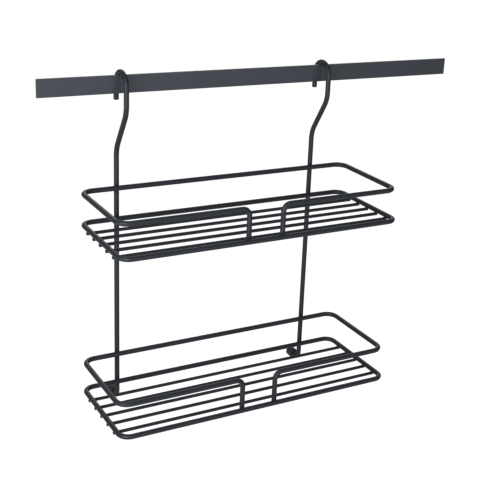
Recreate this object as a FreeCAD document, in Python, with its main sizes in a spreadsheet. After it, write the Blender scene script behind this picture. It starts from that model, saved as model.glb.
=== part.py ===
"""Kitchen rail with a two-tier wire rack hung on it, as a parametric FreeCAD document.

Millimetres. X runs along the rail to the right, Y runs into the wall and Z up. The wall's
face is y = 0, and the origin lies midway between the bores of the two rail posts.

How it is made: a flat steel bar stands off the wall on two welded posts, each pushed over a
wall pin and locked by a grub screw from below. Two bent round wires hook over the bar. Each
drops in front of it, cranks back under it and runs down behind the baskets to a foot that
turns to the wall and ends in a rubber buffer. Each basket is a closed ring of thick wire
with thin slats welded under it, and one bent rim wire whose ends come down as two posts
beside a gap in the front. Slats, rims, rings and hangers touch where they are welded.
"""
import FreeCAD, Part
import os
import Sketcher
from math import asin, atan2, cos, degrees, hypot, pi, radians, sin
from FreeCAD import Vector

# Driving dimensions: alias, value in millimetres (or a count), and what it is.
SIZES = [
    ("wire", 5.2, "hangers, rings and rims: 5 mm round wire under 0.1 mm of coating"),
    ("slat_wire", 3.4, "slats: 3.2 mm round wire under 0.1 mm of coating"),
    ("cut_chamfer", 0.4, "broken edge at each cut wire end"),

    ("rail_length", 482.0, "flat bar, end to end"),
    ("rail_height", 18.0, "flat bar, upright"),
    ("rail_thick", 3.0, "flat bar, front to back"),
    ("rail_edge", 0.4, "rounding of the bar's long edges"),

    ("post_inset", 51.0, "post axis from the near end of the bar"),
    ("post_wide", 10.0, "diameter of a rail post"),
    ("post_drop", 3.5, "post axis below the middle of the bar, out of sight from above"),
    ("pin_wide", 5.0, "wall pin that the post slides over"),
    ("pin_play", 0.2, "bore over pin"),
    ("pin_depth", 26.0, "depth of the bore"),
    ("post_chamfer", 0.5, "edge at the wall end of a post"),
    ("grub_wide", 3.0, "grub screw"),
    ("grub_play", 0.1, "tapped hole over screw"),
    ("grub_long", 2.0, "grub screw, end to end"),
    ("grub_sink", 0.2, "screw below the skin of the post"),
    ("grub_from_wall", 9.0, "screw axis to the wall"),
    ("grub_key", 1.5, "across the flats of the screw's socket"),
    ("grub_key_deep", 1.1, "depth of the screw's socket"),

    ("hook_mouth", 22.5, "clear width inside a hook"),
    ("tail_below", 9.3, "hook's tail below the bar"),
    ("crown_play", 0.02, "hook crown over the bar's top corners"),
    ("crank_start", 10.1, "start of the crank below the bar"),
    ("crank_high", 57.7, "height of the crank"),
    ("crank_bend", 26.5, "bend radius in the crank"),
    ("leg_spacing", 230.8, "between the two hangers"),
    ("leg_to_wall", 21.0, "hanger's long leg to the wall"),
    ("foot_below", 20.6, "foot below the lower ring"),
    ("foot_bend", 8.0, "bend radius of the foot"),

    ("buffer_wide", 11.0, "rubber buffer"),
    ("buffer_thick", 9.5, "rubber buffer, along the wire"),
    ("buffer_floor", 2.0, "rubber between wire end and wall"),
    ("buffer_round", 1.6, "rounding of its edges"),
    ("buffer_play", 0.02, "rubber over wire"),

    ("hook_beside_post", 33.1, "left hook from the left post, where the rack hangs"),
    ("basket_wide", 310.0, "ring, middle of wire to middle of wire"),
    ("basket_deep", 112.6, "ring, front to back, middle of wire"),
    ("ring_corner", 11.0, "corner radius of the rings"),
    ("rim_corner", 12.0, "corner radius of the rims"),
    ("rim_high", 32.9, "rim above its ring"),
    ("tier_high", 186.5, "upper ring above the lower one"),
    ("rail_to_ring", 337.3, "top of the bar above the lower ring"),
    ("gap_wide", 38.3, "between the two posts of the front gap"),
    ("gap_shift", -1.4, "middle of the gap from the middle of the basket"),
    ("gap_bend", 8.0, "bend radius over each gap post"),
    ("gap_foot", 1.5, "gap post ends below the middle of the ring"),
    ("slat_pitch", 17.9, "from slat to slat"),
    ("slat_inset", 1.0, "slat end inside the outer side of the ring"),
]
SLATS = 5

doc = FreeCAD.newDocument("kitchen_rail_rack")
sizes = doc.addObject("Spreadsheet::Sheet", "sizes")
for row, (alias, number, note) in enumerate(SIZES, start=1):
    sizes.set(f"A{row}", note)
    sizes.set(f"B{row}", str(number))
    sizes.setAlias(f"B{row}", alias)
doc.recompute()


def size(text):
    """Put the sheet's name before each alias in an expression written in aliases."""
    words = [alias for alias, _, _ in SIZES]
    out, word = "", ""
    for letter in text + " ":
        if letter.isalnum() or letter == "_":
            word += letter
            continue
        out += ("sizes." + word if word in words else word) + letter
        word = ""
    return out.strip()


def number(text):
    """The value that an expression has now, to draw a sketch near its solution."""
    return float(doc.sizes.evalExpression(size(text)))


# Places that several pieces share, written in the sheet's aliases.
POST_X = "(rail_length / 2 - post_inset)"
RAIL_TOP = "(post_drop + rail_height / 2)"
RAIL_FOOT = "(post_drop - rail_height / 2)"
HOOK_RADIUS = "((hook_mouth + wire) / 2)"
HOOK_INSIDE = "(hook_mouth / 2)"
LEG_Y = "(-leg_to_wall)"
RAIL_Y = f"({LEG_Y} - {HOOK_RADIUS})"
RACK_X = f"(hook_beside_post + leg_spacing / 2 - {POST_X})"
# The bar's two top corners touch the crown a little beside its highest point.
CROWN_RISE = f"({HOOK_INSIDE} - sqrt({HOOK_INSIDE} * {HOOK_INSIDE} - rail_thick * rail_thick / 4))"
CROWN_Z = f"({RAIL_TOP} + {CROWN_RISE} + crown_play + wire / 2)"
HOOK_Z = f"({CROWN_Z} - {HOOK_RADIUS})"
LOWER_Z = f"({RAIL_TOP} - rail_to_ring)"
RING_Z = {"lower": LOWER_Z, "upper": f"({LOWER_Z} + tier_high)"}
BACK_Y = f"({LEG_Y} - wire)"
FOOT_Z = f"({LOWER_Z} - foot_below)"
SLAT_DROP = "((wire + slat_wire) / 2)"


def body(label, x="0", y="0", z="0"):
    """A PartDesign body whose place is bound to the sheet."""
    piece = doc.addObject("PartDesign::Body", label)
    piece.Label = label
    for axis, text in (("x", x), ("y", y), ("z", z)):
        piece.setExpression(f".Placement.Base.{axis}", size(text))
    return piece


def sketch(piece, plane, label, offset="0"):
    """A sketch on a body's XY, XZ or YZ plane, pushed along that plane's normal."""
    drawing = piece.newObject("Sketcher::SketchObject", label)
    drawing.AttachmentSupport = [(next(
        f for f in piece.Origin.OriginFeatures if f.Role == plane + "_Plane"), "")]
    drawing.MapMode = "FlatFace"
    drawing.setExpression(".AttachmentOffset.Base.z", size(offset))
    return drawing


def bind(drawing, constraint, text):
    """Add a dimension to a sketch and bind it to an expression."""
    index = drawing.addConstraint(constraint)
    drawing.setExpression(f"Constraints[{index}]", size(text))


def fix_point(drawing, geometry, point, x=None, y=None):
    """Hold a point at a place measured from the sketch's origin, or on an axis for "0"."""
    for distance, text, zero_axis in (("DistanceX", x, -2), ("DistanceY", y, -1)):
        if text == "0":
            drawing.addConstraint(
                Sketcher.Constraint("PointOnObject", geometry, point, zero_axis))
        elif text is not None:
            bind(drawing, Sketcher.Constraint(
                distance, -1, 1, geometry, point, number(text)), text)


def round_section(piece, plane, label, diameter, x="0", y="0", offset="0"):
    """A circle of the given diameter, such as the section of a wire square to its path."""
    drawing = sketch(piece, plane, label, offset)
    drawing.addGeometry(Part.Circle(
        Vector(number(x), number(y), 0), Vector(0, 0, 1), number(diameter) / 2))
    fix_point(drawing, 0, 3, x, y)
    bind(drawing, Sketcher.Constraint("Diameter", 0, number(diameter)), diameter)
    return drawing


def pipe(piece, label, profile, path):
    """Sweep a section along a path sketch."""
    sweep = piece.newObject("PartDesign::AdditivePipe", label)
    sweep.Profile = profile
    sweep.Spine = path
    sweep.Transition = 0
    return sweep


def arc(centre, radius, start, end):
    """An arc given by its centre, radius and two angles in degrees, counterclockwise."""
    circle = Part.Circle(Vector(centre[0], centre[1], 0), Vector(0, 0, 1), radius)
    return Part.ArcOfCircle(circle, radians(start), radians(end))


def line(start, end):
    return Part.LineSegment(Vector(start[0], start[1], 0), Vector(end[0], end[1], 0))


def join_smoothly(drawing, joints):
    """Tangent joints, each (curve, end, next curve, its end) with 1 = start and 2 = end."""
    for first, end, second, start in joints:
        drawing.addConstraint(Sketcher.Constraint("Tangent", first, end, second, start))


def break_edges(piece, label, diameter, centres):
    """Chamfer the cut ends of a wire: the circles of its diameter round the given centres."""
    wire = piece.Tip
    names = [f"Edge{index}" for index, edge in enumerate(wire.Shape.Edges, start=1)
             if abs(edge.Length - pi * number(diameter)) < 0.01
             and min(edge.CenterOfMass.distanceToPoint(Vector(*c)) for c in centres) < 0.01]
    chamfer = piece.newObject("PartDesign::Chamfer", label)
    chamfer.Base = (wire, names)
    chamfer.setExpression(".Size", size("cut_chamfer"))


def revolve(piece, label, outline):
    """Turn a closed outline of (along Y, radius) corners about the body's Y axis."""
    drawing = sketch(piece, "YZ", label + "_outline")
    places = [(number(y), number(z)) for y, z in outline]
    last = len(places) - 1
    for index, place in enumerate(places):
        drawing.addGeometry(line(place, places[0 if index == last else index + 1]))
    for index in range(len(places)):
        following = 0 if index == last else index + 1
        drawing.addConstraint(Sketcher.Constraint("Coincident", index, 2, following, 1))
    for index, (y, z) in enumerate(outline):
        fix_point(drawing, index, 1, y, z)
    turned = piece.newObject("PartDesign::Revolution", label)
    turned.Profile = drawing
    turned.ReferenceAxis = (drawing, ["H_Axis"])
    turned.Angle = 360
    return turned


def hexagon(drawing, across):
    """A regular hexagon round the sketch's origin, held by its width across the flats."""
    radius = number(f"{across} / sqrt(3)")
    corner = [(radius * cos(radians(60 * n)), radius * sin(radians(60 * n))) for n in range(6)]
    for index in range(6):
        drawing.addGeometry(line(corner[index], corner[(index + 1) % 6]))
    drawing.addGeometry(Part.Circle(Vector(0, 0, 0), Vector(0, 0, 1), radius), True)
    drawing.addConstraint(Sketcher.Constraint("Coincident", 6, 3, -1, 1))
    for index in range(6):
        drawing.addConstraint(Sketcher.Constraint("Coincident", index, 2, (index + 1) % 6, 1))
        drawing.addConstraint(Sketcher.Constraint("PointOnObject", index, 1, 6))
        if index:
            drawing.addConstraint(Sketcher.Constraint("Equal", 0, index))
    drawing.addConstraint(Sketcher.Constraint("PointOnObject", 0, 1, -1))
    bind(drawing, Sketcher.Constraint("Radius", 6, radius), f"{across} / sqrt(3)")


def rail_bar():
    """Plain flat steel bar, its long edges a little rounded and its ends cut square."""
    piece = body("rail_bar")
    section = sketch(piece, "YZ", "bar_section", "-rail_length / 2")
    back, front = f"{RAIL_Y} + rail_thick / 2", f"{RAIL_Y} - rail_thick / 2"
    corners = [(front, RAIL_FOOT), (back, RAIL_FOOT), (back, RAIL_TOP), (front, RAIL_TOP)]
    places = [(number(y), number(z)) for y, z in corners]
    for index in range(4):
        section.addGeometry(line(places[index], places[(index + 1) % 4]))
    for index in range(4):
        section.addConstraint(Sketcher.Constraint("Coincident", index, 2, (index + 1) % 4, 1))
        way = "Vertical" if index % 2 else "Horizontal"
        section.addConstraint(Sketcher.Constraint(way, index))
    fix_point(section, 0, 1, front, RAIL_FOOT)
    fix_point(section, 2, 1, back, RAIL_TOP)
    bar = piece.newObject("PartDesign::Pad", "bar")
    bar.Profile = section
    bar.setExpression(".Length", size("rail_length"))
    doc.recompute()
    long_edges = [f"Edge{i}" for i, edge in enumerate(bar.Shape.Edges, start=1)
                  if edge.BoundBox.XLength > number("rail_length") / 2]
    rounding = piece.newObject("PartDesign::Fillet", "bar_edges")
    rounding.Base = (bar, long_edges)
    rounding.setExpression(".Radius", size("rail_edge"))


def rail_post(side, sign):
    """Round post welded to the back of the bar, bored for a wall pin, with a screw hole below."""
    piece = body("rail_post_" + side, x=f"{sign} * {POST_X}")
    front = f"{RAIL_Y} + rail_thick / 2"
    bore, skin = "(pin_wide + pin_play) / 2", "post_wide / 2"
    revolve(piece, "post_" + side, [
        (front, "0"), (front, skin), ("-post_chamfer", skin), ("0", f"{skin} - post_chamfer"),
        ("0", bore), ("-pin_depth", bore), ("-pin_depth", "0")])
    hole = round_section(piece, "XY", "screw_hole_" + side, "grub_wide + grub_play",
                         y="-grub_from_wall")
    drilled = piece.newObject("PartDesign::Pocket", "drilled_" + side)
    drilled.Profile = hole
    drilled.setExpression(".Length", size("post_wide"))


def grub_screw(side, sign):
    """Headless set screw with a hexagon socket, seen from below the post."""
    piece = body("grub_screw_" + side, x=f"{sign} * {POST_X}",
                 y="-grub_from_wall", z="grub_sink - post_wide / 2")
    shank = piece.newObject("PartDesign::Pad", "shank_" + side)
    shank.Profile = round_section(piece, "XY", "screw_section_" + side, "grub_wide")
    shank.setExpression(".Length", size("grub_long"))
    key = sketch(piece, "XY", "key_" + side)
    hexagon(key, "grub_key")
    socket = piece.newObject("PartDesign::Pocket", "socket_" + side)
    socket.Profile = key
    socket.setExpression(".Length", size("grub_key_deep"))
    socket.Reversed = True
    doc.recompute()
    tip = [f"Edge{i}" for i, edge in enumerate(socket.Shape.Edges, start=1)
           if abs(edge.CenterOfMass.z - socket.Shape.BoundBox.ZMax) < 0.001
           and edge.BoundBox.XLength > number("grub_wide") * 0.9]
    point = piece.newObject("PartDesign::Chamfer", "screw_tip_" + side)
    point.Base = (socket, tip)
    point.setExpression(".Size", size("cut_chamfer"))


def crank_angle():
    """How far the crank leans, for the sketch's first drawing."""
    high, bend = number("crank_high"), number("crank_bend")
    spare = 2 * bend - 2 * number(HOOK_RADIUS)
    return asin(2 * bend / hypot(high, spare)) - atan2(spare, high)


def hanger(side, sign):
    """Hook over the bar, crank, long leg and foot, bent from one straight wire."""
    piece = body("hanger_" + side, x=f"{RACK_X} + {sign} * leg_spacing / 2")
    tail_z = f"{RAIL_FOOT} - tail_below"
    bend_z = f"({RAIL_FOOT} - crank_start)"
    leg_z = f"({bend_z} - crank_high)"
    leg_y, front_y = number(LEG_Y), number(LEG_Y) - 2 * number(HOOK_RADIUS)
    hook_z, top, low = number(HOOK_Z), number(bend_z), number(leg_z)
    bend, lean = number("crank_bend"), crank_angle()
    foot, turn = number(FOOT_Z), number("foot_bend")
    run_start = (front_y + bend - bend * cos(lean), top - bend * sin(lean))
    run_end = (leg_y - bend + bend * cos(lean), low + bend * sin(lean))
    path = sketch(piece, "YZ", "hanger_line_" + side)
    for curve in (
            line((leg_y, number(tail_z)), (leg_y, hook_z)),
            arc((number(RAIL_Y), hook_z), number(HOOK_RADIUS), 0, 180),
            line((front_y, hook_z), (front_y, top)),
            arc((front_y + bend, top), bend, 180, 180 + degrees(lean)),
            line(run_start, run_end),
            arc((leg_y - bend, low), bend, 0, degrees(lean)),
            line((leg_y, low), (leg_y, foot + turn)),
            arc((leg_y + turn, foot + turn), turn, 180, 270),
            line((leg_y + turn, foot), (number("-buffer_floor"), foot))):
        path.addGeometry(curve)
    join_smoothly(path, [(0, 2, 1, 1), (1, 2, 2, 1), (2, 2, 3, 1), (3, 2, 4, 1),
                         (4, 2, 5, 2), (5, 1, 6, 1), (6, 2, 7, 1), (7, 2, 8, 1)])
    for upright in (0, 2, 6):
        path.addConstraint(Sketcher.Constraint("Vertical", upright))
    path.addConstraint(Sketcher.Constraint("Horizontal", 8))
    path.addConstraint(Sketcher.Constraint("Equal", 3, 5))
    for curve, text in ((1, HOOK_RADIUS), (3, "crank_bend"), (7, "foot_bend")):
        bind(path, Sketcher.Constraint("Radius", curve, number(text)), text)
    fix_point(path, 0, 1, LEG_Y, tail_z)
    fix_point(path, 1, 3, y=HOOK_Z)
    fix_point(path, 2, 2, y=bend_z)
    fix_point(path, 6, 1, LEG_Y, leg_z)
    fix_point(path, 8, 2, "-buffer_floor", FOOT_Z)
    section = round_section(piece, "XY", "hanger_wire_" + side, "wire", y=LEG_Y, offset=tail_z)
    pipe(piece, "bent_wire_" + side, section, path)
    doc.recompute()
    break_edges(piece, "hanger_ends_" + side, "wire",
                [(0, leg_y, number(tail_z)), (0, number("-buffer_floor"), foot)])


def wall_buffer(side, sign):
    """Round rubber foot pushed on the hanger's end, its flat side against the wall."""
    piece = body("wall_buffer_" + side, x=f"{RACK_X} + {sign} * leg_spacing / 2", z=FOOT_Z)
    bore, skin = "(wire + buffer_play) / 2", "buffer_wide / 2"
    disc = revolve(piece, "buffer_" + side, [
        ("-buffer_thick", bore), ("-buffer_thick", skin), ("0", skin), ("0", "0"),
        ("-buffer_floor", "0"), ("-buffer_floor", bore)])
    doc.recompute()
    rims = [f"Edge{i}" for i, edge in enumerate(disc.Shape.Edges, start=1)
            if edge.BoundBox.XLength > number("buffer_wide") * 0.99
            and edge.BoundBox.YLength < 0.01]
    rounding = piece.newObject("PartDesign::Fillet", "buffer_rims_" + side)
    rounding.Base = (disc, rims)
    rounding.setExpression(".Radius", size("buffer_round"))


def corner_curves(right, back, front, corner):
    """The four corner arcs of a ring of wire, from the back right one clockwise."""
    inner = right - corner
    return [arc((inner, back - corner), corner, 0, 90),
            arc((inner, front + corner), corner, 270, 360),
            arc((-inner, front + corner), corner, 180, 270),
            arc((-inner, back - corner), corner, 90, 180)]


def base_frame(tier):
    """Closed ring of thick wire, butt welded in the middle of its back."""
    piece = body(tier + "_base_frame", x=RACK_X, y=BACK_Y, z=RING_Z[tier])
    half, deep, corner = number("basket_wide / 2"), number("basket_deep"), number("ring_corner")
    arcs = corner_curves(half, 0, -deep, corner)
    path = sketch(piece, "XY", "ring_line_" + tier)
    for curve in (
            line((0, 0), (half - corner, 0)), arcs[0],
            line((half, -corner), (half, corner - deep)), arcs[1],
            line((half - corner, -deep), (corner - half, -deep)), arcs[2],
            line((-half, corner - deep), (-half, -corner)), arcs[3],
            line((corner - half, 0), (0, 0))):
        path.addGeometry(curve)
    join_smoothly(path, [(0, 2, 1, 2), (1, 1, 2, 1), (2, 2, 3, 2), (3, 1, 4, 1),
                         (4, 2, 5, 2), (5, 1, 6, 1), (6, 2, 7, 2), (7, 1, 8, 1)])
    path.addConstraint(Sketcher.Constraint("Coincident", 8, 2, 0, 1))
    path.addConstraint(Sketcher.Constraint("Coincident", 0, 1, -1, 1))
    for way, curves in (("Horizontal", (0, 4, 8)), ("Vertical", (2, 6))):
        for curve in curves:
            path.addConstraint(Sketcher.Constraint(way, curve))
    bind(path, Sketcher.Constraint("Radius", 1, corner), "ring_corner")
    for curve in (3, 5, 7):
        path.addConstraint(Sketcher.Constraint("Equal", 1, curve))
    fix_point(path, 2, 1, x="basket_wide / 2")
    fix_point(path, 6, 1, x="-basket_wide / 2")
    fix_point(path, 4, 1, y="-basket_deep")
    pipe(piece, "ring_" + tier, round_section(piece, "YZ", "ring_wire_" + tier, "wire"), path)


def rim(tier):
    """Upper edge of a basket: one wire round it, its ends bent down beside the front gap."""
    piece = body(tier + "_rim", x=RACK_X, y=BACK_Y, z=f"{RING_Z[tier]} + rim_high")
    deep = "(basket_deep - wire)"
    half, front, corner = number("basket_wide / 2"), -number(deep), number("rim_corner")
    post_x = {"right": "(gap_shift + gap_wide / 2)", "left": "(gap_shift - gap_wide / 2)"}
    bend_x = {"right": f"({post_x['right']} + gap_bend)", "left": f"({post_x['left']} - gap_bend)"}
    arcs = corner_curves(half, 0, front, corner)
    path = sketch(piece, "XY", "rim_line_" + tier)
    for curve in (
            line((number(bend_x["right"]), front), (half - corner, front)), arcs[1],
            line((half, front + corner), (half, -corner)), arcs[0],
            line((half - corner, 0), (corner - half, 0)), arcs[3],
            line((-half, -corner), (-half, front + corner)), arcs[2],
            line((corner - half, front), (number(bend_x["left"]), front))):
        path.addGeometry(curve)
    join_smoothly(path, [(n, 2, n + 1, 1) for n in range(8)])
    for way, curves in (("Horizontal", (0, 4, 8)), ("Vertical", (2, 6))):
        for curve in curves:
            path.addConstraint(Sketcher.Constraint(way, curve))
    bind(path, Sketcher.Constraint("Radius", 1, corner), "rim_corner")
    for curve in (3, 5, 7):
        path.addConstraint(Sketcher.Constraint("Equal", 1, curve))
    fix_point(path, 4, 1, y="0")
    fix_point(path, 2, 1, x="basket_wide / 2")
    fix_point(path, 6, 1, x="-basket_wide / 2")
    fix_point(path, 0, 1, bend_x["right"], f"-{deep}")
    fix_point(path, 8, 2, bend_x["left"], f"-{deep}")
    sections = {side: round_section(piece, "YZ", f"rim_wire_{side}_{tier}", "wire",
                                    x=f"-{deep}", offset=bend_x[side])
                for side in ("right", "left")}
    pipe(piece, "rim_run_" + tier, sections["right"], path)
    bend, foot = number("gap_bend"), number("-(rim_high + gap_foot)")
    for side, sign in (("right", 1), ("left", -1)):
        x = number(post_x[side])
        post = sketch(piece, "XZ", f"gap_post_line_{side}_{tier}", deep)
        turn = (90, 180) if side == "right" else (0, 90)
        top_end, low_end = (1, 2) if side == "right" else (2, 1)
        post.addGeometry(arc((x + sign * bend, -bend), bend, *turn))
        post.addGeometry(line((x, -bend), (x, foot)))
        join_smoothly(post, [(0, low_end, 1, 1)])
        post.addConstraint(Sketcher.Constraint("Vertical", 1))
        post.addConstraint(Sketcher.Constraint("Vertical", 0, top_end, 0, 3))
        fix_point(post, 0, top_end, y="0")
        bind(post, Sketcher.Constraint("Radius", 0, bend), "gap_bend")
        fix_point(post, 1, 2, post_x[side], "-(rim_high + gap_foot)")
        pipe(piece, f"gap_post_{side}_{tier}", sections[side], post)
    doc.recompute()
    break_edges(piece, "rim_ends_" + tier, "wire",
                [(number(post_x[side]), front, foot) for side in ("left", "right")])


def slat(tier, place):
    """Straight thin wire under the ring, number 1 nearest the wall."""
    label = f"{tier}_slat_{place}"
    from_middle = f"{(SLATS + 1) / 2 - place}"
    piece = body(label, x=RACK_X, y=f"{BACK_Y} - basket_deep / 2 + {from_middle} * slat_pitch",
                 z=f"{RING_Z[tier]} - {SLAT_DROP}")
    half = "((basket_wide + wire) / 2 - slat_inset)"
    straight = piece.newObject("PartDesign::Pad", "wire_" + label)
    straight.Profile = round_section(piece, "YZ", "section_" + label, "slat_wire",
                                     offset=f"-{half}")
    straight.setExpression(".Length", size(f"2 * {half}"))
    doc.recompute()
    break_edges(piece, "ends_" + label, "slat_wire",
                [(number(f"-{half}"), 0, 0), (number(half), 0, 0)])


SIDES = (("left", "-1"), ("right", "1"))
rail_bar()
for side, sign in SIDES:
    rail_post(side, sign)
    grub_screw(side, sign)
    hanger(side, sign)
    wall_buffer(side, sign)
for tier in ("lower", "upper"):
    base_frame(tier)
    rim(tier)
    for place in range(1, SLATS + 1):
        slat(tier, place)
doc.recompute()

# Every feature has to be sound, and each piece one valid solid, before anything is written.
for item in doc.Objects:
    if "Invalid" in item.State or "Error" in item.State:
        raise RuntimeError(f"{item.Label} failed: {item.State}")
os.makedirs("parts", exist_ok=True)
for piece in doc.Objects:
    if piece.TypeId != "PartDesign::Body":
        continue
    shape = piece.Shape
    if shape.isNull() or not shape.isValid() or len(shape.Solids) != 1:
        raise RuntimeError(f"{piece.Label} is not one valid solid")
    shape.exportStep(f"parts/{piece.Label}.step")
    print(f"{piece.Label}: {shape.Volume:.1f} mm3, {len(shape.Faces)} faces")
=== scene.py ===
# %% [markdown]
# # A kitchen rail with a two-tier wire rack
#
# This lesson dresses a finished engineering model. The steel bar, the two bent hangers and
# the wires of the two baskets come in as solids with their true sizes, and Blender adds what
# a solid lacks: the coating, the welds, the light and the camera. Everything is in metres.
# X runs along the bar to the right, Y runs into the wall and Z is up.

# %% Load the solids
import bmesh
import bpy
from math import cos, pi, radians, sin, sqrt
from mathutils import Matrix, Vector


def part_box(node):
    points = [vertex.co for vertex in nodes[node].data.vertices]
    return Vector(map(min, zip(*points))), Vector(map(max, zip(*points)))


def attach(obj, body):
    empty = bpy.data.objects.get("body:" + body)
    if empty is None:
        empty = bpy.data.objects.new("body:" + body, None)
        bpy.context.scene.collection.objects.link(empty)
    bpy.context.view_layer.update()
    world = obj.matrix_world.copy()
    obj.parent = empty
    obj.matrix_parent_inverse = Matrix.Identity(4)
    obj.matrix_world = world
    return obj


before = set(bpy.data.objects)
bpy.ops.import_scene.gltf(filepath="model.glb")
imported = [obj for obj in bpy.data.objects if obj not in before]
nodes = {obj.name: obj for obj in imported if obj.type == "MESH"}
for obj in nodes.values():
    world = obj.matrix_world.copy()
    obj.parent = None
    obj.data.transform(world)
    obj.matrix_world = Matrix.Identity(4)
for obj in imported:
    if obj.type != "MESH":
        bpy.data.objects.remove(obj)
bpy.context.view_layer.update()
print("pieces:", len(nodes))

# %% [markdown]
# ## The camera
#
# The photograph was taken from the left and from above. The place, the three angles and the
# focal length below were fitted together with the part's proportions to some 280 readings of
# the wires and the bar, which come back to a third of a pixel on average. Where the lens axis
# meets the picture was chosen and not fitted: other places do as well or a little better, with
# a slightly deeper rack. The film is shifted to that place.

# %% Place the camera
PICTURE = 480                 # pixels along each side
FOCAL = 1009.83               # focal length in pixels
AXIS_PIXEL = (290.0, 215.0)   # where the lens axis meets the picture
CAMERA_PLACE = Vector((-0.51098, -0.95731, 0.20231))
TURN, DIP, TILT = 0.54148, 0.32204, 0.05428   # radians: to the right, down, clockwise

forward = Vector((sin(TURN) * cos(DIP), cos(TURN) * cos(DIP), -sin(DIP)))
level = Vector((cos(TURN), -sin(TURN), 0))
right = cos(TILT) * level + sin(TILT) * level.cross(forward)
up = right.cross(forward)

camera = bpy.data.objects.new("camera", bpy.data.cameras.new("camera"))
bpy.context.scene.collection.objects.link(camera)
bpy.context.scene.camera = camera
axes = Matrix((right, up, -forward)).transposed()
camera.matrix_world = Matrix.Translation(CAMERA_PLACE) @ axes.to_4x4()
lens = camera.data
lens.sensor_width = 36.0
lens.lens = lens.sensor_width * FOCAL / PICTURE
picture_middle = (PICTURE - 1) / 2
lens.shift_x = (picture_middle - AXIS_PIXEL[0]) / PICTURE
lens.shift_y = (AXIS_PIXEL[1] - picture_middle) / PICTURE
print("lens in mm:", round(lens.lens, 1), "shift:", round(lens.shift_x, 3), round(lens.shift_y, 3))

# %% [markdown]
# ## Shader sums as plain Python
#
# A finish is a sum of patterns, and sums are easier to read as sums. `Flow` holds one output
# of a node tree. Adding or multiplying two of them adds the Math node that does it, and
# `node` makes any other node from its kind, its settings and its inputs.

# %% A small class for shader sums
class Flow:
    """One output of a node tree, for use in ordinary Python sums."""

    def __init__(self, tree, socket):
        self.tree, self.socket = tree, socket

    def node(self, kind, settings, inputs, output=None):
        """Add a node: its settings first, then the values or flows of its sockets."""
        made = self.tree.nodes.new("ShaderNode" + kind)
        for name, value in settings.items():
            setattr(made, name, value)
        for name, value in inputs.items():
            socket = made.inputs[name] if isinstance(name, int) else next(
                s for s in made.inputs if s.enabled and s.name == name)
            if isinstance(value, Flow):
                self.tree.links.new(value.socket, socket)
            else:
                socket.default_value = value
        return Flow(self.tree, next(
            s for s in made.outputs if s.enabled and output in (None, s.name)))

    def __add__(self, other):
        return self.node("Math", {"operation": "ADD"}, {0: self, 1: other})

    def __mul__(self, other):
        return self.node("Math", {"operation": "MULTIPLY"}, {0: self, 1: other})

    def __sub__(self, other):
        return self.node("Math", {"operation": "SUBTRACT"}, {0: self, 1: other})

    def __rsub__(self, other):
        return self.node("Math", {"operation": "SUBTRACT"}, {0: other, 1: self})

    __radd__, __rmul__ = __add__, __mul__

    def between(self, low, high):
        """A colour that goes from low to high as this flow goes from 0 to 1."""
        return self.node("Mix", {"data_type": "RGBA"},
                         {"Factor": self, "A": (*low, 1.0), "B": (*high, 1.0)})

    def into(self, socket):
        self.tree.links.new(self.socket, socket)


def new_finish(name):
    """An empty finish: the material, its shader, and the place of each point in metres."""
    material = bpy.data.materials.new(name)
    material.use_nodes = True
    tree = material.node_tree
    shader = tree.nodes["Principled BSDF"]
    place = Flow(tree, tree.nodes.new("ShaderNodeTexCoord").outputs["Object"])
    return material, shader, place


def lumps(place, width, detail=2.0):
    """Soft noise from 0 to 1 whose lumps are about the given width in metres."""
    inputs = {"Vector": place, "Scale": 1 / width, "Detail": detail}
    return place.node("TexNoise", {}, inputs, "Fac")


print("operators ready:", [name for name in vars(Flow) if name.startswith("__")][3:])

# %% [markdown]
# ## The powder coat
#
# Wire and bar are baked with a dark powder paint. Close up such a coat is never flat: it has
# a soft orange peel just under a millimetre wide, a much finer grain, and a tone that drifts
# a little over a hand's width. Noise nodes of those three widths make them. The peel goes
# into a bump, the grain mostly into the roughness. One function makes both coats, since they
# differ only in tone, in gloss and in how deep the peel is.

# %% Powder paint on the wires and on the bar
PEEL_WIDTH = 0.0008
GRAIN_WIDTH = 0.00025
DRIFT_WIDTH = 0.06


def powder_coat(name, deep, pale, dullness, gloss, peel_height):
    material, shader, place = new_finish(name)
    shader.inputs["Specular IOR Level"].default_value = gloss
    peel, grain = lumps(place, PEEL_WIDTH), lumps(place, GRAIN_WIDTH, 1.0)
    tone = 0.7 * lumps(place, DRIFT_WIDTH) + 0.3 * grain
    tone.between(deep, pale).into(shader.inputs["Base Color"])
    (dullness + 0.12 * (grain - 0.5)).into(shader.inputs["Roughness"])
    surface = peel.node("Bump", {}, {"Height": peel + 0.25 * grain, "Strength": 1.0,
                                     "Distance": peel_height}, "Normal")
    surface.into(shader.inputs["Normal"])
    return material


wire_coat = powder_coat("wire_powder_coat", (0.0158, 0.0183, 0.0229), (0.0211, 0.0242, 0.0304),
                        dullness=0.5, gloss=0.3, peel_height=0.00012)
rail_coat = powder_coat("rail_powder_coat", (0.0235, 0.0276, 0.0348), (0.0288, 0.0336, 0.0420),
                        dullness=0.45, gloss=0.45, peel_height=0.00008)
print("coats:", wire_coat.name, rail_coat.name)

# %% [markdown]
# ## Rubber and screw steel
#
# The two feet against the wall are soft black rubber: dull, a little dusty, with a fine
# moulded grain. The set screws under the posts are oiled black steel, so they are metal with
# a dark tint, smoother than the paint and a little uneven where a key has turned them.

# %% Rubber of the feet
rubber, shader, place = new_finish("buffer_rubber")
dust = lumps(place, 0.003)
dust.between((0.022, 0.023, 0.026), (0.040, 0.041, 0.045)).into(shader.inputs["Base Color"])
(0.72 + 0.16 * dust).into(shader.inputs["Roughness"])
grain = lumps(place, 0.0003, 3.0)
moulded = grain.node("Bump", {}, {"Height": grain, "Distance": 0.00003}, "Normal")
moulded.into(shader.inputs["Normal"])
print("finish:", rubber.name)

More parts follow.
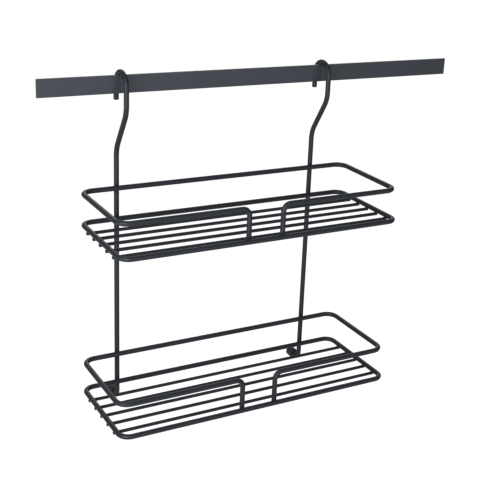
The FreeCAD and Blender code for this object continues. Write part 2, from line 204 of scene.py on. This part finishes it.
# %% Oiled steel of the set screws
screw_steel, shader, place = new_finish("screw_steel")
shader.inputs["Metallic"].default_value = 1.0
turning = lumps(place, 0.0006, 3.0)
turning.between((0.10, 0.10, 0.11), (0.22, 0.22, 0.23)).into(shader.inputs["Base Color"])
(0.28 + 0.2 * turning).into(shader.inputs["Roughness"])
print("finish:", screw_steel.name)

# %% Give each solid its finish
FINISHES = {"rail_bar": rail_coat, "rail_post": rail_coat, "grub_screw": screw_steel,
            "wall_buffer": rubber}
for name, solid in nodes.items():
    kind = next((k for k in FINISHES if name.startswith(k)), None)
    solid.data.materials.clear()
    solid.data.materials.append(FINISHES.get(kind, wire_coat))
print("dressed:", len(nodes), "solids")

# %% [markdown]
# ## Where wires cross: a fillet of weld and paint
#
# Crossing wires are pressed together between two electrodes, and the joint melts into a
# small neck. The paint then fills the last of the corner. So there is no sharp gap round
# the touching point but a hollow fillet, which runs out where the wires part by about a
# millimetre. Its rim can be worked out: it lies where the gap between two crossing
# cylinders reaches a given width.

# %% A fillet between two crossing wires
THICK, THIN = 0.0026, 0.0017     # radii of the two wires
NECK_GAP = 0.0007                # the gap that the weld still fills
LIP = 0.0006                     # how far the fillet runs out along both skins
SINK = 0.00004                   # its edges lie this far inside the wires
AROUND, ACROSS = 40, 7           # mesh steps round the neck and from skin to skin
SEARCH_SHARE, EDGE_SHARE = 0.95, 0.97   # how far towards a wire's side line a fillet may run
HALVINGS = 30                    # steps of the search for the neck's rim
TINY = 1e-9                      # keeps a division from meeting zero


def join_rings(mesh, rings, capped):
    """Skin over rings of points. Its ends are capped, or the last ring meets the first."""
    rows = [[mesh.verts.new(point) for point in ring] for ring in rings]
    for near, far in zip(rows, rows[1:] if capped else rows[1:] + rows[:1]):
        for step in range(len(near)):
            after = (step + 1) % len(near)
            mesh.faces.new((near[step], near[after], far[after], far[step]))
    if capped:
        mesh.faces.new(rows[0])
        mesh.faces.new(rows[-1])


def skin_height(radius, offset):
    """How far a round wire's skin has curved away, that far beside its touching line."""
    return radius - sqrt(max(radius * radius - offset * offset, 0.0))


def side_line(direction, upper, lower):
    """Distance from the touching point to the side line of the wire that is met first."""
    u, v = direction
    return min(upper / max(abs(v), TINY), lower / max(abs(u), TINY))


def neck_radius(direction, upper, lower, gap):
    """Distance from the touching point at which the gap between the wires is that wide."""
    u, v = direction
    near, far = 0.0, SEARCH_SHARE * side_line(direction, upper, lower)
    for _ in range(HALVINGS):
        middle = (near + far) / 2
        wide = skin_height(upper, middle * v) + skin_height(lower, middle * u)
        near, far = (middle, far) if wide < gap else (near, middle)
    return near


def fillet(mesh, touch, upper_axis, lower_axis, upper, lower, size=1.0, stop=None):
    """Add one fillet. The upper wire lies on the side of upper_axis x lower_axis.

    Where the lower wire ends nearby, stop is the way to its end along lower_axis.
    """
    out = upper_axis.cross(lower_axis)
    rings = [[] for _ in range(ACROSS)]
    for step in range(AROUND):
        angle = 2 * pi * step / AROUND
        u, v = cos(angle), sin(angle)
        neck = neck_radius((u, v), upper, lower, NECK_GAP * size)
        edge = EDGE_SHARE * side_line((u, v), upper, lower)
        if stop is not None and stop * v > 0:
            edge = min(edge, stop / v)
        for level, ring in enumerate(rings):
            share = level / (ACROSS - 1)
            reach = min(neck + LIP * size * (2 * share - 1) ** 2, edge)
            top = skin_height(upper, reach * v) + SINK
            foot = -skin_height(lower, reach * u) - SINK
            ring.append(touch + upper_axis * (reach * u) + lower_axis * (reach * v)
                        + out * (foot + share * (top - foot)))
    join_rings(mesh, rings, capped=True)


def weld_piece(name, mesh, finish):
    """Turn the finished fillets into one smooth-shaded piece of the object."""
    bmesh.ops.recalc_face_normals(mesh, faces=mesh.faces)
    data = bpy.data.meshes.new(name)
    mesh.to_mesh(data)
    mesh.free()
    data.materials.append(finish)
    data.shade_smooth()
    piece = bpy.data.objects.new(name, data)
    bpy.context.scene.collection.objects.link(piece)
    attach(piece, "root")


# %% Fillets of both baskets
CUT_EDGE = 0.00045               # a slat's bevelled end, which the weld leaves clear
SLATS = 5
X, Y, Z = Vector((1, 0, 0)), Vector((0, 1, 0)), Vector((0, 0, 1))


def middle_of(name):
    low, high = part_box(name)
    return (low + high) / 2


def wobble(number):
    """A size between 0.85 and 1.15: no two welds are the same."""
    return 1 + 0.15 * sin(7.3 * number)


for tier in ("lower", "upper"):
    low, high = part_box(tier + "_base_frame")
    _, rim_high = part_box(tier + "_rim")
    ring_z, rim_z = (low.z + high.z) / 2, rim_high.z - THICK
    slats = bmesh.new()
    for place in range(1, SLATS + 1):
        slat_low, slat_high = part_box(f"{tier}_slat_{place}")
        ends = ((low.x + THICK, slat_low.x + CUT_EDGE),
                (high.x - THICK, slat_high.x - CUT_EDGE))
        for x, end in ends:
            touch = Vector((x, (slat_low.y + slat_high.y) / 2, ring_z - THICK))
            fillet(slats, touch, Y, -X, THICK, THIN, wobble(place + x), stop=x - end)
    weld_piece(f"weld_{tier}_slats", slats, wire_coat)
    legs = bmesh.new()
    for side in ("left", "right"):
        x = middle_of("hanger_" + side).x
        for z in (ring_z, rim_z):
            fillet(legs, Vector((x, high.y, z)), Z, X, THICK, THICK, wobble(x + z))
    weld_piece(f"weld_{tier}_hangers", legs, wire_coat)

# %% Fillets of the gap posts
GAP_WIDE = 0.0383                # between the middles of the two posts
GAP_SHIFT = -0.0014              # the gap's middle from the basket's middle
GAP_MIDDLE = middle_of("lower_rim").x + GAP_SHIFT
GAP_POSTS = (GAP_MIDDLE - GAP_WIDE / 2, GAP_MIDDLE + GAP_WIDE / 2)

for tier in ("lower", "upper"):
    ring_low, ring_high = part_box(tier + "_base_frame")
    ring_z = (ring_low.z + ring_high.z) / 2
    posts = bmesh.new()
    for x in GAP_POSTS:
        fillet(posts, Vector((x, ring_low.y + 2 * THICK, ring_z)), Z, X, THICK, THICK, wobble(x))
    weld_piece(f"weld_{tier}_gap_posts", posts, wire_coat)

# %% [markdown]
# ## Welds of the two posts and of the rings
#
# Each post stands on the back of the bar, and a torch has run a fillet round its foot. The
# bead is a row of small overlapping puddles, so its edge ripples. Below the post the bar
# ends almost at once, so the bead thins out there. Each ring of a basket was one straight
# wire whose ends meet in the middle of its back, where the butt weld leaves a low collar.

# %% A bead round each post
BEAD = 0.0019                # leg of the fillet
BEAD_EDGE = 0.0005           # it stays this far from the bar's edges
BEAD_STEPS = 4 * AROUND      # mesh steps round it, enough for the ripples
RIPPLES, RIPPLE_DEPTH = 22, 0.035
HOLLOW = 0.45                # 0 is a flat fillet, 1 a quarter round hollow one


def post_bead(mesh, post, bar):
    """A rippled fillet between a post and the back of the bar, from their two boxes."""
    (left, _, foot), (right_side, _, _) = post
    radius = (right_side - left) / 2
    centre = Vector((left + radius, bar[1].y, foot + radius))
    rings = [[] for _ in range(ACROSS + 1)]
    for step in range(BEAD_STEPS):
        angle = 2 * pi * step / BEAD_STEPS
        out = Vector((cos(angle), 0, sin(angle)))
        room = bar[1].z - centre.z if out.z > 0 else centre.z - bar[0].z
        leg = min(BEAD, (room - BEAD_EDGE) / max(abs(out.z), TINY) - radius)
        leg = max(leg, SINK) * (1 + RIPPLE_DEPTH * sin(RIPPLES * angle + 2 * sin(3 * angle)))
        for level, ring in enumerate(rings[:-1]):
            share = level / (ACROSS - 1)
            hollow = (1 - cos(share * pi / 2), 1 - sin(share * pi / 2))
            flat = (share, 1 - share)
            along, high = [HOLLOW * h + (1 - HOLLOW) * f for h, f in zip(hollow, flat)]
            ring.append(centre + out * (radius - SINK + leg * along) + Y * (leg * high - SINK))
        rings[-1].append(centre + out * (radius - 4 * SINK) - Y * (4 * SINK))
    join_rings(mesh, rings, capped=False)


beads = bmesh.new()
for side in ("left", "right"):
    post_bead(beads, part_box("rail_post_" + side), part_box("rail_bar"))
weld_piece("weld_rail_posts", beads, rail_coat)
print("bead leg in mm:", BEAD * 1000)

# %% A collar where each ring closes
COLLAR_HIGH, COLLAR_REACH = 0.00018, 0.0016
TURNS = [2 * pi * step / AROUND for step in range(AROUND)]

for tier in ("lower", "upper"):
    low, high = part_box(tier + "_base_frame")
    seam = Vector(((low.x + high.x) / 2, high.y - THICK, (low.z + high.z) / 2))
    rings = []
    for level in range(2 * ACROSS - 1):
        share = level / (ACROSS - 1) - 1
        radius = THICK - SINK + (COLLAR_HIGH + SINK) * cos(share * pi / 2) ** 2
        rings.append([seam + X * (share * COLLAR_REACH)
                      + radius * (Y * cos(angle) + Z * sin(angle)) for angle in TURNS])
    collar = bmesh.new()
    join_rings(collar, rings, capped=True)
    weld_piece(f"weld_{tier}_seam", collar, wire_coat)
print("collar height in mm:", COLLAR_HIGH * 1000)

# %% [markdown]
# ## The floor
#
# In the photograph the rack hangs before plain white. Paper gets that white only where a lamp
# shines on it, so product photographers use a thin sheet that is lit from behind as well.
# Here the sheet glows by itself, just enough to reach white and hardly more: a brighter one
# would spill over thin dark wires in the picture and make them look thinner. It lies far
# enough below the rack to take no hard shadow.

# %% Lay the floor
FLOOR_Z, FLOOR_REACH = -0.9, 40.0
FLOOR_GLOW = 0.875

floor_mesh = bpy.data.meshes.new("floor")
corners = [(-FLOOR_REACH, -FLOOR_REACH), (FLOOR_REACH, -FLOOR_REACH),
           (FLOOR_REACH, FLOOR_REACH), (-FLOOR_REACH, FLOOR_REACH)]
floor_mesh.from_pydata([(x, y, FLOOR_Z) for x, y in corners], [], [(0, 1, 2, 3)])
floor = bpy.data.objects.new("floor", floor_mesh)
bpy.context.scene.collection.objects.link(floor)
paper, shader, place = new_finish("pale_floor")
lumps(place, 0.8).between((0.19, 0.19, 0.19), (0.21, 0.21, 0.21)).into(shader.inputs["Base Color"])
shader.inputs["Emission Color"].default_value = (1.0, 1.0, 1.0, 1.0)
shader.inputs["Emission Strength"].default_value = FLOOR_GLOW
shader.inputs["Roughness"].default_value = 1.0
shader.inputs["Specular IOR Level"].default_value = 0.0
floor_mesh.materials.append(paper)
print("floor at z in mm:", FLOOR_Z * 1000)

# %% [markdown]
# ## Lamps
#
# The shadows that the two hooks throw on the bar lie a little to the left of their wires and
# fade out softly. A wide lamp, far in front and slightly to the right, throws such shadows.
# The bar is lightest at its left end, and the tails of the hooks are lit although they hang
# behind it, so a second soft lamp stands nearer, to the left and hardly higher than the bar.
# Both were placed by trial, and other lamps may do as well. A weak light from behind shows
# the back of the rack in the other views and hardly touches this one.

# %% Hang the lamps
CENTRE = (0, 0, -0.15)       # the middle of the rack


def lamp(name, kind, place, power, **settings):
    """A lamp at a place, turned to shine at the middle of the rack."""
    light = bpy.data.lights.new(name, kind)
    light.energy = power
    for key, value in settings.items():
        setattr(light, key, value)
    made = bpy.data.objects.new(name, light)
    bpy.context.scene.collection.objects.link(made)
    made.location = place
    made.rotation_euler = (Vector(CENTRE) - Vector(place)).to_track_quat("-Z", "Y").to_euler()


lamp("front_lamp", "AREA", (0.12, -1.7, 0.15), 20.0, shape="DISK", size=2.2)
lamp("left_lamp", "AREA", (-0.95, -0.75, 0.15), 28.0, shape="DISK", size=1.0)
lamp("back_light", "SUN", (0.5, 1.0, 0.6), 2.0, angle=radians(60))

# %% [markdown]
# ## The room and the picture's tones
#
# The room gives a weak light from everywhere, which keeps the undersides from going black.
# Where nothing stands before it, the camera sees it as white, like the floor. The picture
# is finished with a gamma below 1, which lifts nothing but deepens the dark tones, the way
# a photograph of black goods on white is printed.

# %% Light the room
ROOM_LIGHT, ROOM_SEEN = 0.3, 1.1

world = bpy.data.worlds.new("studio")
bpy.context.scene.world = world
world.use_nodes = True
background = world.node_tree.nodes["Background"]
background.inputs["Color"].default_value = (1.0, 1.0, 1.0, 1.0)
seen = Flow(world.node_tree, None).node("LightPath", {}, {}, "Is Camera Ray")
(ROOM_LIGHT + (ROOM_SEEN - ROOM_LIGHT) * seen).into(background.inputs["Strength"])
view = bpy.context.scene.view_settings
view.view_transform, view.gamma = "Standard", 0.75
print("room light:", ROOM_LIGHT, "picture gamma:", view.gamma)

# %% [markdown]
